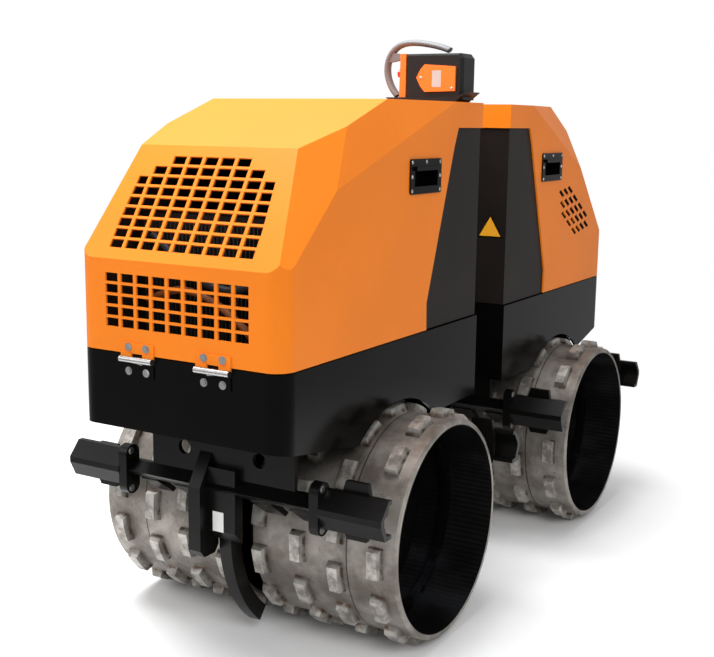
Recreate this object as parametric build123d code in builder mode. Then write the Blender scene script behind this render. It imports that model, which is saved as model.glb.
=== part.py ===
from build123d import *
from math import atan2, cos, degrees, hypot, radians, sin, sqrt
import os

# Articulated trench roller, standing on its four padfoot drums.
# Row frame: +Z up, -Y towards the grille end (front), +X towards its right-hand side as seen in front view.
# All sizes are in millimetres.

# Drums and axles
SHELL_RADIUS = 268.0        # smooth surface of a drum
LUG_HEIGHT = 20.0           # pad above that surface
SHELL_WALL = 14.0
DRUM_INNER = 32.0           # inner end of a drum from the centre plane
SEAM = 297.0                # where the bolted-on ring meets the drum
RING_END = 425.0            # outer end of the ring
WEB_FACE = 217.0            # outer face of the drum's disc
WEB_THICKNESS = 12.0
HUB_RADIUS = 84.0
HUB_LENGTH = 26.0
FLANGE_WIDTH = 26.0         # radial width of the bolting flange at the seam
FLANGE_THICKNESS = 8.0
SPIGOT_CLEARANCE = 0.3
AXLE_RADIUS = 35.0
RUNNING_CLEARANCE = 0.08
SEAT = 0.3                  # gap left between pieces on different bodies

# Pads: staggered columns round each drum
LUGS_ROUND = 14
DRUM_COLUMNS = (58.0, 167.0, 268.0)
RING_COLUMNS = (374.0,)
LUG_WIDTH = 38.0
LUG_LENGTH = 76.0
LUG_TAPER = 14.0            # slope of each flank in degrees
LUG_PHASE = {1: (-14.0, -2.0), -1: (2.0, 10.5)}     # by side: columns 1 and 3 from the hub, then 2 and 4 (degrees)
LUG_SINK = 3.0

# Overall layout, measured from the steering pin
AXLE_REACH = 530.0
GAP_HALF = 93.0
FRONT_REACH = 1032.0
REAR_REACH = 935.0
HINGE_RADIUS = 7.0
HINGE_STAND_OFF = 7.3       # hinge axis in front of the end face
LENGTH_SHIFT = (FRONT_REACH - REAR_REACH) / 2   # puts the origin at the middle of the length

# Body
BODY_HALF = 282.0
CORNER_RADIUS = 45.0
CHASSIS_WALL = 9.0
CHASSIS_TOP = 739.0
END_LOW = 568.0             # lower edge of the chassis at its outer end
TIP_LOW = 519.0             # lower edge beside the drum and at the gap
ARCH_RADIUS = 300.0
FLOOR_TOP = 604.0
FLOOR_THICKNESS = 12.0

# Hoods
HOOD_LOW = 742.0
HOOD_TOP = 1308.0
HOOD_WALL = 5.0
BEVEL_GAP_REACH = 257.0     # where the bevel runs out at the top edge
COWL_TOP = 1243.0

# Articulation
PIN_RADIUS = 25.0
JOINT_Z = 630.0
EAR_THICKNESS = 25.0
EAR_SPACING = 120.0         # clear height between the two ears
SHAFT_RADIUS = 35.0
BEARING_RADIUS = 62.0
BEARING_DEPTH = 85.0        # how far the bearing reaches into the rear chassis
BEARING_NOSE = 18.0
LEVER_Z = 466.0
LEVER_ARM = 60.0
CYLINDER_Z = 440.0
CYLINDER_RADIUS = 21.0
ROD_RADIUS = 11.0
BARREL_EYE_X = -240.0
BORE_DEPTH = 80.0

# Scrapers
BAR_OFFSET = 330.0          # back face of a scraper bar from the axle
BAR_HEIGHT = 87.0
BAR_NOSE = 46.0
BAR_Z = 416.0               # height of the nose line
BAR_END = 447.0
FLANGE_X = 275.0
HANGER_HALF = 205.0
HANGER_LOW = 402.0
TIE_HOLE_RADIUS = 18.0
TIE_HOLE_X = 108.0
TIE_HOLE_Z = 492.0
GUARD_HALF = 17.0           # curved guard between the drums
CHEEK_OUTER, CHEEK_INNER = 60.0, 26.0
TOOTH_LOW = 350.0
TOOTH_REACH = 58.0
TOOTH_GAP = 6.0             # side clearance from a tooth to the pads
PLATE_HEAD = 483.0

AXLE_Z = SHELL_RADIUS + LUG_HEIGHT
PIVOT_Y = LENGTH_SHIFT
FLOOR_LOW = FLOOR_TOP - FLOOR_THICKNESS
FRONT, REAR = -1, 1         # direction of each half from the steering pin

# Side profile of each hood as (reach, height): knee, brow and the foot of the flat top, then bevel points
# (half width, reach, height) where the bevel meets the side, the end slope and the upper slope.
HOODS = {
    FRONT: dict(end=FRONT_REACH, knee=950.0, brow=(879.0, 1197.0), crown=562.0,
                low=(BODY_HALF, 1005.0, 950.0), side=(BODY_HALF, 829.0, 1109.0), face=(215.0, 879.0, 1197.0),
                shoulder=(253.0, 748.0, 1242.0)),
    REAR: dict(end=REAR_REACH, knee=892.0, brow=(753.0, 1163.0), crown=479.0,
               low=(BODY_HALF, 905.0, 892.0), side=(BODY_HALF, 681.0, 1118.0), face=(215.0, 753.0, 1163.0),
               shoulder=(253.0, 643.0, 1221.0)),
}

os.makedirs("parts", exist_ok=True)


def place(half, reach):
    """Row-frame Y of a point at that reach from the steering pin."""
    return PIVOT_Y + half * reach


def save(part, name):
    part.label = name
    export_step(part, f"parts/{name}.step")


def side_plane(x=0.0):
    """Sketch plane with local x along +Y and local y along +Z, extruding towards +X."""
    return Plane(origin=(x, 0, 0), x_dir=(0, 1, 0), z_dir=(1, 0, 0))


def side_outline(half, points):
    """Closed outline in the side plane from (reach, height) points."""
    return [(place(half, reach), z) for reach, z in points]


# Drums

def make_lug():
    """One pad standing on its own origin: local z points away from the axle, local x along it."""
    foot = SHELL_RADIUS - LUG_SINK
    with BuildPart() as lug:
        with BuildSketch():
            Rectangle(LUG_WIDTH, LUG_LENGTH)
        extrude(amount=LUG_SINK + LUG_HEIGHT + 4, taper=LUG_TAPER)
        with Locations(Location((0, 0, -foot), (0, 90, 0))):
            Cylinder(SHELL_RADIUS + LUG_HEIGHT, 2 * LUG_WIDTH, mode=Mode.INTERSECT)
    return lug.part


def lug_places(half, side, columns, first_phase):
    """Planes of all pads in these columns, each column turned against its neighbour."""
    axle_y = place(half, AXLE_REACH)
    foot = SHELL_RADIUS - LUG_SINK
    places = []
    for number, column in enumerate(columns, first_phase):
        for step in range(LUGS_ROUND):
            angle = radians(LUG_PHASE[side][number % 2] + step * 360 / LUGS_ROUND)
            out = Vector(0, -cos(angle), sin(angle))
            places.append(Plane(origin=Vector(side * column, axle_y, AXLE_Z) + out * foot, x_dir=(1, 0, 0), z_dir=out))
    return places


def ring_section(half, side, points):
    """Body of revolution about an axle from (distance from the centre plane, radius) points."""
    axle_y = place(half, AXLE_REACH)
    with BuildPart() as turned:
        with BuildSketch(Plane(origin=(0, axle_y, AXLE_Z), x_dir=(side, 0, 0), z_dir=(0, -side, 0))):
            with BuildLine():
                Polyline(*points, close=True)
            make_face()
        revolve(axis=Axis((0, axle_y, AXLE_Z), (1, 0, 0)))
    return turned.part


def make_drum(half, side):
    """Inner drum: open tube with three columns of pads."""
    inner = SHELL_RADIUS - SHELL_WALL
    with BuildPart() as drum:
        add(ring_section(half, side, [(DRUM_INNER, inner), (DRUM_INNER, SHELL_RADIUS - 6), (DRUM_INNER + 6, SHELL_RADIUS),
                                      (SEAM, SHELL_RADIUS), (SEAM, inner)]))
        with Locations(*lug_places(half, side, DRUM_COLUMNS, 0)):
            add(make_lug())
    return drum.part


def make_discs(half):
    """Discs welded into both inner drums, each with its hub boss for the axle."""
    rim = SHELL_RADIUS - SHELL_WALL
    with BuildPart() as discs:
        for side in (-1, 1):
            add(ring_section(half, side, [(WEB_FACE - WEB_THICKNESS, AXLE_RADIUS), (WEB_FACE - WEB_THICKNESS, rim),
                                          (WEB_FACE, rim), (WEB_FACE, HUB_RADIUS), (WEB_FACE + HUB_LENGTH, HUB_RADIUS),
                                          (WEB_FACE + HUB_LENGTH, AXLE_RADIUS)]))
    return discs.part


def make_ring(half, side):
    """Outer ring with one column of pads; its inner flange centres in the drum and is bolted there."""
    inner = SHELL_RADIUS - SHELL_WALL
    spigot = inner - SPIGOT_CLEARANCE
    throat = inner - FLANGE_WIDTH
    with BuildPart() as ring:
        add(ring_section(half, side, [(SEAM, SHELL_RADIUS), (RING_END - 4, SHELL_RADIUS), (RING_END, SHELL_RADIUS - 4),
                                      (RING_END, inner), (SEAM + FLANGE_THICKNESS, inner),
                                      (SEAM + FLANGE_THICKNESS, throat), (SEAM - FLANGE_THICKNESS, throat),
                                      (SEAM - FLANGE_THICKNESS, spigot), (SEAM, spigot)]))
        with Locations(*lug_places(half, side, RING_COLUMNS, len(DRUM_COLUMNS))):
            add(make_lug())
    return ring.part


def make_axle(half):
    """Through shaft that joins the two hubs of one axle."""
    axle_y = place(half, AXLE_REACH)
    reach = WEB_FACE + HUB_LENGTH
    with BuildPart() as axle:
        with BuildSketch(side_plane(-reach)):
            with Locations((axle_y, AXLE_Z)):
                Circle(AXLE_RADIUS)
        extrude(amount=2 * reach)
    return axle.part


def make_carrier(half):
    """Central leg between the drums, with the drive housing that reaches into them and carries the axle."""
    axle_y = place(half, AXLE_REACH)
    leg_half, top_half = 22.0, 185.0
    housing_radius, housing_half = 150.0, WEB_FACE - WEB_THICKNESS - 12.0
    with BuildPart() as carrier:
        with BuildSketch(side_plane(-leg_half)):
            with BuildLine():
                Polyline((axle_y - top_half, FLOOR_LOW), (axle_y + top_half, FLOOR_LOW),
                         (axle_y + 130, AXLE_Z), (axle_y - 130, AXLE_Z), close=True)
            make_face()
        extrude(amount=2 * leg_half)
        with BuildSketch(side_plane(-housing_half)):
            with Locations((axle_y, AXLE_Z)):
                Circle(housing_radius)
        extrude(amount=2 * housing_half)
        with BuildSketch(side_plane(-housing_half)):
            with Locations((axle_y, AXLE_Z)):
                Circle(AXLE_RADIUS + RUNNING_CLEARANCE)
        extrude(amount=2 * housing_half, mode=Mode.SUBTRACT)
    return carrier.part


# Chassis

def make_chassis(half):
    """Open-topped welded tub: rounded outer end, arched side plates, end plate at the gap and a floor over the drums."""
    end = HOODS[half]["end"]
    axle_y = place(half, AXLE_REACH)
    middle = place(half, (end + GAP_HALF) / 2)
    length = end - GAP_HALF
    height = CHASSIS_TOP - TIP_LOW
    tip = AXLE_REACH + sqrt(ARCH_RADIUS ** 2 - (TIP_LOW - AXLE_Z) ** 2)
    with BuildPart() as tub:
        with BuildSketch(Plane.XY.offset(TIP_LOW)):
            with Locations((0, middle)):
                outline = Rectangle(2 * BODY_HALF, length)
            outer_corners = outline.vertices().sort_by(Axis.Y)
            outer_corners = outer_corners[:2] if half == FRONT else outer_corners[-2:]
            fillet(outer_corners, CORNER_RADIUS)
        extrude(amount=height)
        with BuildSketch(Plane.XY.offset(TIP_LOW)):
            with Locations((0, middle)):
                inside = Rectangle(2 * (BODY_HALF - CHASSIS_WALL), length - 2 * CHASSIS_WALL)
            inner_corners = inside.vertices().sort_by(Axis.Y)
            inner_corners = inner_corners[:2] if half == FRONT else inner_corners[-2:]
            fillet(inner_corners, CORNER_RADIUS - CHASSIS_WALL)
        extrude(amount=FLOOR_LOW - TIP_LOW, mode=Mode.SUBTRACT)
        with BuildSketch(Plane.XY.offset(FLOOR_TOP)):
            with Locations((0, middle)):
                above = Rectangle(2 * (BODY_HALF - CHASSIS_WALL), length - 2 * CHASSIS_WALL)
            inner_corners = above.vertices().sort_by(Axis.Y)
            inner_corners = inner_corners[:2] if half == FRONT else inner_corners[-2:]
            fillet(inner_corners, CORNER_RADIUS - CHASSIS_WALL)
        extrude(amount=CHASSIS_TOP - FLOOR_TOP, mode=Mode.SUBTRACT)
        with BuildSketch(side_plane(-BODY_HALF)):
            with Locations((axle_y, AXLE_Z)):
                Circle(ARCH_RADIUS)
            with BuildLine():
                Polyline(*side_outline(half, [(tip, TIP_LOW), (end + 1, END_LOW), (end + 1, TIP_LOW - 1),
                                              (tip, TIP_LOW - 1)]), close=True)
            make_face()
        extrude(amount=2 * BODY_HALF, mode=Mode.SUBTRACT)
        if half == REAR:
            with BuildSketch(Plane(origin=(0, place(half, GAP_HALF), JOINT_Z), x_dir=(1, 0, 0), z_dir=(0, 1, 0))):
                Circle(BEARING_RADIUS)
            extrude(amount=BEARING_DEPTH, mode=Mode.SUBTRACT)
    return tub.part


# Articulation joint

def make_yoke():
    """Two ears on the front chassis that hold the steering pin."""
    root = place(FRONT, GAP_HALF)
    ear_radius = 46.0
    bottoms = (JOINT_Z - EAR_SPACING / 2 - EAR_THICKNESS, JOINT_Z + EAR_SPACING / 2)
    with BuildPart() as yoke:
        for bottom in bottoms:
            with BuildSketch(Plane.XY.offset(bottom)):
                with Locations((0, PIVOT_Y)):
                    Circle(ear_radius)
                with BuildLine():
                    Polyline((-75, root), (75, root), (ear_radius, PIVOT_Y), (-ear_radius, PIVOT_Y), close=True)
                make_face()
                with Locations((0, PIVOT_Y)):
                    Circle(PIN_RADIUS + RUNNING_CLEARANCE, mode=Mode.SUBTRACT)
            extrude(amount=EAR_THICKNESS)
        with BuildSketch(Plane.XY.offset(bottoms[0])):
            with Locations((0, root + 5)):
                Rectangle(150, 10)
        extrude(amount=bottoms[1] + EAR_THICKNESS - bottoms[0])
    return yoke.part


def make_joint_block():
    """Swivel block with its steering pin, the lever for the cylinder and the oscillation shaft."""
    block_half, block_height = 42.0, EAR_SPACING - 2 * 3
    with BuildPart() as block:
        with BuildSketch(Plane.XY.offset(JOINT_Z - block_height / 2)):
            with Locations((0, PIVOT_Y)):
                Circle(block_half)
        extrude(amount=block_height)
        with BuildSketch(Plane.XY.offset(LEVER_Z)):
            with Locations((0, PIVOT_Y)):
                Circle(PIN_RADIUS)
        extrude(amount=JOINT_Z + EAR_SPACING / 2 + EAR_THICKNESS + 12 - LEVER_Z)
        with BuildSketch(Plane.XY.offset(LEVER_Z)):
            with Locations((0, PIVOT_Y)):
                Circle(PIN_RADIUS + 10)
            with Locations((0, PIVOT_Y - LEVER_ARM)):
                Circle(22)
            with Locations((0, PIVOT_Y - LEVER_ARM / 2)):
                Rectangle(44, LEVER_ARM)
        extrude(amount=20)
        with BuildSketch(Plane(origin=(0, PIVOT_Y, JOINT_Z), x_dir=(1, 0, 0), z_dir=(0, 1, 0))):
            Circle(SHAFT_RADIUS)
        extrude(amount=GAP_HALF + BEARING_DEPTH - 5)
    return block.part


def make_bearing():
    """Oscillation bearing in the rear chassis, round the block's shaft."""
    start = place(REAR, GAP_HALF - BEARING_NOSE)
    with BuildPart() as bearing:
        with BuildSketch(Plane(origin=(0, start, JOINT_Z), x_dir=(1, 0, 0), z_dir=(0, 1, 0))):
            Circle(BEARING_RADIUS)
            Circle(SHAFT_RADIUS + RUNNING_CLEARANCE, mode=Mode.SUBTRACT)
        extrude(amount=BEARING_NOSE + BEARING_DEPTH)
        with BuildSketch(Plane(origin=(0, place(REAR, GAP_HALF + CHASSIS_WALL), JOINT_Z), x_dir=(-1, 0, 0), z_dir=(0, 1, 0))):
            with BuildLine():
                Polyline((-95, FLOOR_TOP - JOINT_Z), (95, FLOOR_TOP - JOINT_Z), (70, 80), (-70, 80), close=True)
            make_face()
            Circle(BEARING_RADIUS - 1, mode=Mode.SUBTRACT)
        extrude(amount=14)
    return bearing.part


def make_barrel():
    """Steering cylinder barrel on its bracket under the front chassis."""
    y = PIVOT_Y - LEVER_ARM
    plate_y = place(FRONT, GAP_HALF)
    end_x = -88.0
    with BuildPart() as barrel:
        with BuildSketch(side_plane(BARREL_EYE_X + 18)):
            with Locations((y, CYLINDER_Z)):
                Circle(CYLINDER_RADIUS)
        extrude(amount=end_x - BARREL_EYE_X - 18)
        with BuildSketch(side_plane(end_x - BORE_DEPTH)):
            with Locations((y, CYLINDER_Z)):
                Circle(ROD_RADIUS + RUNNING_CLEARANCE)
        extrude(amount=BORE_DEPTH, mode=Mode.SUBTRACT)
        with BuildSketch(Plane.XY.offset(CYLINDER_Z - 14)):
            with Locations((BARREL_EYE_X, y)):
                Circle(22)
            with Locations((BARREL_EYE_X + 12, y)):
                Rectangle(24, 30)
        extrude(amount=28)
        with BuildSketch(side_plane(BARREL_EYE_X - 22)):
            with BuildLine():
                Polyline((plate_y - CHASSIS_WALL, TIP_LOW), (plate_y, TIP_LOW), (y + 20, CYLINDER_Z + 14),
                         (y + 20, CYLINDER_Z - 14), (y - 20, CYLINDER_Z - 14), (plate_y - CHASSIS_WALL, CYLINDER_Z + 14),
                         close=True)
            make_face()
        extrude(amount=12)
    return barrel.part


def make_rod():
    """Steering cylinder rod; its eye lies under the lever."""
    y = PIVOT_Y - LEVER_ARM
    with BuildPart() as rod:
        with BuildSketch(side_plane(-126)):
            with Locations((y, CYLINDER_Z)):
                Circle(ROD_RADIUS)
        extrude(amount=126)
        with BuildSketch(Plane.XY.offset(CYLINDER_Z - 14)):
            with Locations((0, y)):
                Circle(20)
        extrude(amount=LEVER_Z - SEAT - CYLINDER_Z + 14)
    return rod.part


# Hoods

def bevel_plane(points, half, side, inset):
    """Plane through three (half width, reach, height) points, facing outwards and moved in by the inset."""
    corner = [Vector(side * x, place(half, reach), z) for x, reach, z in points]
    normal = (corner[1] - corner[0]).cross(corner[2] - corner[0]).normalized()
    if normal.X * side < 0:
        normal = normal * -1
    return Plane(origin=corner[0] - normal * inset, z_dir=normal)


def hood_form(half, inset):
    """Solid form of a hood, every face moved in by the inset except the open underside."""
    h = HOODS[half]
    brow_reach, brow_z = h["brow"]
    with BuildPart() as form:
        with BuildSketch(side_plane(-BODY_HALF + inset)):
            with BuildLine():
                Polyline(*side_outline(half, [(GAP_HALF, HOOD_LOW - 40), (h["end"], HOOD_LOW - 40), (h["end"], h["knee"]),
                                              (brow_reach, brow_z), (h["crown"], HOOD_TOP), (GAP_HALF, HOOD_TOP)]),
                         close=True)
            make_face()
            if inset:
                offset(amount=-inset, kind=Kind.INTERSECTION)
        extrude(amount=2 * (BODY_HALF - inset))
        outer = form.edges().filter_by(Axis.Z).sort_by(Axis.Y)
        outer = outer[:2] if half == FRONT else outer[-2:]
        fillet(outer, CORNER_RADIUS - inset)
        for side in (-1, 1):
            end_bevel = bevel_plane((h["low"], h["side"], h["face"]), half, side, inset)
            top_bevel = bevel_plane((h["side"], (BODY_HALF, BEVEL_GAP_REACH, HOOD_TOP), h["shoulder"]), half, side, inset)
            split(bisect_by=end_bevel, keep=Keep.BOTTOM)
            split(bisect_by=top_bevel, keep=Keep.BOTTOM)
        split(bisect_by=Plane.XY.offset(HOOD_LOW), keep=Keep.TOP)
    return form.part


def cowl_outline(half, grow):
    """Side view of the dark cowl, grown by the overlap it has behind the hood."""
    return side_outline(half, [(GAP_HALF - 40, HOOD_LOW - 20), (394 + grow, HOOD_LOW - 20), (397 + grow, 811),
                               (262 + grow, 1193), (240 + grow, COWL_TOP + grow), (GAP_HALF - 40, COWL_TOP + grow)])


def cowl_block(half, grow):
    """Block across the body whose side view is the cowl; its upper outer corner is rounded."""
    with BuildPart() as block:
        with BuildSketch(side_plane(-BODY_HALF - 10)):
            with BuildLine():
                Polyline(*cowl_outline(half, grow), close=True)
            face = make_face()
            corners = face.vertices().group_by(Axis.Y)
            upper = face.vertices().filter_by(lambda v: 1150 < v.Z and abs(v.Y - PIVOT_Y) > GAP_HALF)
            fillet(upper, 10)
        extrude(amount=2 * BODY_HALF + 20)
    return block.part


def slope_frame(half):
    """Plane on the hood's end slope: local x along X, local y up the slope from the knee, normal outwards."""
    h = HOODS[half]
    brow_reach, brow_z = h["brow"]
    run, rise = h["end"] - brow_reach, brow_z - h["knee"]
    up = Vector(0, -half * run, rise).normalized()
    normal = Vector(0, half * rise, run).normalized()
    return Plane(origin=(0, place(half, h["end"]), h["knee"]), x_dir=up.cross(normal), z_dir=normal)


GRILLE_PITCH_X = 44.5
GRILLE_WINDOW_X = 36.0
GRILLE_LOWER = dict(bottom=798.0, rows=5, pitch=25.3, window=19.5, counts=(9, 9, 9, 9, 9), half=(200.0, 200.0))
GRILLE_UPPER = dict(bottom=28.0, rows=9, pitch=26.8, window=20.6, counts=(9, 9, 9, 9, 9, 9, 9, 7, 5),
                    half=(202.0, 182.0))
GRILLE_MARGIN = 10.0
GRILLE_HALF = 208.0


def grille_span(spec):
    """Lower and upper edge of a perforated panel."""
    top = spec["bottom"] + (spec["rows"] - 1) * spec["pitch"] + spec["window"]
    return spec["bottom"] - GRILLE_MARGIN, top + GRILLE_MARGIN


def grille_windows(plane, spec):
    """Cutter for the windows: rows of equal holes trimmed by the slanting outline of the field."""
    low, high = grille_span(spec)
    foot, head = spec["half"]
    with BuildPart() as cutter:
        with BuildSketch(plane):
            for row, count in enumerate(spec["counts"]):
                with Locations((0, spec["bottom"] + row * spec["pitch"] + spec["window"] / 2)):
                    with GridLocations(GRILLE_PITCH_X, 1, count, 1):
                        Rectangle(GRILLE_WINDOW_X, spec["window"])
            with BuildLine():
                Polyline((-foot, low), (foot, low), (head, high), (-head, high), close=True)
            make_face(mode=Mode.INTERSECT)
        extrude(amount=HOOD_WALL, both=True)
    return cutter.part


def grille_panel(plane, spec):
    """Blank of one perforated panel, flush with the outside of the hood."""
    low, high = grille_span(spec)
    with BuildPart() as panel:
        with BuildSketch(plane):
            with Locations((0, (low + high) / 2)):
                Rectangle(2 * GRILLE_HALF, high - low)
        extrude(amount=-HOOD_WALL)
    return panel.part


def end_frame(half):
    """Plane on the hood's upright end face, local y measured from the ground."""
    return Plane(origin=(0, place(half, HOODS[half]["end"]), 0), x_dir=(-half, 0, 0), z_dir=(0, half, 0))


HANDLE_REACH, HANDLE_Z = 421.0, 1127.0
HANDLE_LENGTH, HANDLE_HEIGHT = 162.0, 84.0
HANDLE_MOUTH_LENGTH, HANDLE_MOUTH_HEIGHT = 128.0, 54.0
HANDLE_DEPTH = 32.0
HANDLE_LIP = 4.0
HANDLE_WALL = 3.0


def handle_frame(half, side):
    return Plane(origin=(side * BODY_HALF, place(half, HANDLE_REACH), HANDLE_Z), x_dir=(0, side, 0), z_dir=(side, 0, 0))


VENT_ROWS = ((3, 519.0, 1041.0), (4, 531.0, 1007.0), (5, 545.0, 973.0), (5, 593.0, 945.0), (4, 643.0, 916.0))
VENT_PITCH = 37.0
VENT_RISE = 5.0             # each slot of a row lies this much higher than the one before
VENT_SLOT = ((-24.0, 6.0), (-9.0, 13.0), (24.0, -7.0), (11.0, -14.0))


def vent_windows(side):
    """Cutter for the cooling slots in one side of the rear hood; rows are (count, first reach, height)."""
    with BuildPart() as cutter:
        with BuildSketch(Plane(origin=(side * (BODY_HALF + 1), PIVOT_Y, 0), x_dir=(0, side, 0), z_dir=(side, 0, 0))):
            for count, first, height in VENT_ROWS:
                for number in range(count):
                    centre = (first + number * VENT_PITCH, height + number * VENT_RISE)
                    with BuildLine():
                        Polyline(*[(side * (centre[0] + x), centre[1] + z) for x, z in VENT_SLOT], close=True)
                    make_face()
        extrude(amount=-HOOD_WALL - 2)
    return cutter.part


def make_hood(half):
    """Folded sheet hood with cut-outs for the perforated panels, the handles and the dark cowl."""
    with BuildPart() as hood:
        add(hood_form(half, 0))
        add(hood_form(half, HOOD_WALL), mode=Mode.SUBTRACT)
        add(cowl_block(half, 0), mode=Mode.SUBTRACT)
        if half == FRONT:
            add(grille_panel(end_frame(half), GRILLE_LOWER), mode=Mode.SUBTRACT)
            add(grille_panel(slope_frame(half), GRILLE_UPPER), mode=Mode.SUBTRACT)
        for side in (-1, 1):
            with BuildSketch(handle_frame(half, side)):
                Rectangle(HANDLE_MOUTH_LENGTH, HANDLE_MOUTH_HEIGHT)
            extrude(amount=-HOOD_WALL - 1, mode=Mode.SUBTRACT)
            if half == REAR:
                add(vent_windows(side), mode=Mode.SUBTRACT)
    return hood.part


def make_cowl(half):
    """Dark folded panel set into the hood at the gap: two side cheeks and the end wall."""
    with BuildPart() as cowl:
        add(hood_form(half, HOOD_WALL))
        add(hood_form(half, 2 * HOOD_WALL), mode=Mode.SUBTRACT)
        add(cowl_block(half, 16), mode=Mode.INTERSECT)
    return cowl.part


def make_grille():
    with BuildPart() as grille:
        add(grille_panel(end_frame(FRONT), GRILLE_LOWER))
        add(grille_panel(slope_frame(FRONT), GRILLE_UPPER))
        add(grille_windows(end_frame(FRONT), GRILLE_LOWER), mode=Mode.SUBTRACT)
        add(grille_windows(slope_frame(FRONT), GRILLE_UPPER), mode=Mode.SUBTRACT)
    return grille.part


def make_handles(half):
    """Recessed pull handles: flanged pan in each side of the hood, with a grip lip at the top."""
    with BuildPart() as handles:
        for side in (-1, 1):
            frame = handle_frame(half, side)
            with BuildSketch(frame):
                RectangleRounded(HANDLE_LENGTH, HANDLE_HEIGHT, 6)
            extrude(amount=HANDLE_LIP)
            with BuildSketch(frame):
                Rectangle(HANDLE_MOUTH_LENGTH, HANDLE_MOUTH_HEIGHT)
            extrude(amount=-HANDLE_DEPTH)
            with BuildSketch(frame.offset(HANDLE_LIP)):
                Rectangle(HANDLE_MOUTH_LENGTH - 2 * HANDLE_WALL, HANDLE_MOUTH_HEIGHT - 2 * HANDLE_WALL)
            extrude(amount=-HANDLE_LIP - HANDLE_DEPTH + HANDLE_WALL, mode=Mode.SUBTRACT)
            with BuildSketch(frame):
                with Locations((0, HANDLE_MOUTH_HEIGHT / 2 - HANDLE_WALL - 5)):
                    Rectangle(HANDLE_MOUTH_LENGTH - HANDLE_WALL, 10)
            extrude(amount=HANDLE_LIP + 7)
    return handles.part


# Hinges

HINGE_X = 105.0
HINGE_LENGTH = 92.0
HINGE_Z = 730.0
HINGE_LEAF = 3.0
HINGE_PIN_RADIUS = 3.0
HINGE_SLIT = 0.6


def hinge_y(half):
    return place(half, HOODS[half]["end"] + HINGE_STAND_OFF)


def make_hinge_leaves(half, upper):
    """One side of both hinges: a leaf on the sheet and its knuckles; the lower side carries the pin."""
    face_y = place(half, HOODS[half]["end"])
    third = HINGE_LENGTH / 3
    with BuildPart() as leaves:
        for x in (-HINGE_X, HINGE_X):
            spans = [(x - HINGE_LENGTH / 2, x - third / 2 - HINGE_SLIT), (x + third / 2 + HINGE_SLIT, x + HINGE_LENGTH / 2)]
            if not upper:
                spans = [(x - third / 2, x + third / 2)]
            for start, stop in spans:
                with BuildSketch(side_plane(start)):
                    with Locations((hinge_y(half), HINGE_Z)):
                        Circle(HINGE_RADIUS)
                        if upper:
                            Circle(HINGE_PIN_RADIUS + RUNNING_CLEARANCE, mode=Mode.SUBTRACT)
                extrude(amount=stop - start)
            low, high = (HOOD_LOW + 1, 766) if upper else (692, HINGE_Z - 9)
            with BuildSketch(Plane(origin=(x, face_y, 0), x_dir=(-half, 0, 0), z_dir=(0, half, 0))):
                with Locations((0, (low + high) / 2)):
                    Rectangle(HINGE_LENGTH, high - low)
            extrude(amount=HINGE_LEAF)
            for start, stop in spans:
                tongue = (HINGE_Z + 4, low + 2) if upper else (high - 2, HINGE_Z - 4)
                with BuildSketch(Plane(origin=((start + stop) / 2, face_y, 0), x_dir=(-half, 0, 0), z_dir=(0, half, 0))):
                    with Locations((0, sum(tongue) / 2)):
                        Rectangle(stop - start, tongue[1] - tongue[0])
                extrude(amount=HINGE_LEAF + 2)
            if not upper:
                with BuildSketch(side_plane(x - HINGE_LENGTH / 2)):
                    with Locations((hinge_y(half), HINGE_Z)):
                        Circle(HINGE_PIN_RADIUS)
                extrude(amount=HINGE_LENGTH)
    return leaves.part


# Scrapers and guards

def strip_outline(points, wall):
    """Closed outline of a bent strip: the given outer line and the same line moved inwards."""
    shifted = [(y - wall[0], z + wall[1] * (1 if z < BAR_Z else -1)) for y, z in points]
    return points + shifted[::-1]


def comb_tooth(back, outward, width, x):
    """Scraper tooth from the bar's foot down and in towards the drum, between two pad columns."""
    with BuildPart() as tooth:
        with BuildSketch(side_plane(x - width / 2)):
            with BuildLine():
                Polyline((back, BAR_Z + 4), (back + outward * 12, BAR_Z + 4), (back + outward * 12, BAR_Z - 24),
                         (back - outward * 46, TOOTH_LOW), (back - outward * TOOTH_REACH, TOOTH_LOW + 6),
                         (back, BAR_Z - 12), close=True)
            make_face()
        extrude(amount=width)
    return tooth.part


def flange_plate(back, outward, x, thickness):
    """Upright bolting plate with rounded ends."""
    half_width, half_height = 24.0, 62.0
    with BuildPart() as plate:
        with BuildSketch(Plane(origin=(x, back + outward * 20, BAR_Z - 2), x_dir=(0, 1, 0), z_dir=(1, 0, 0))):
            SlotOverall(2 * half_height, 2 * half_width, rotation=90)
        extrude(amount=thickness)
    return plate.part


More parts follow.
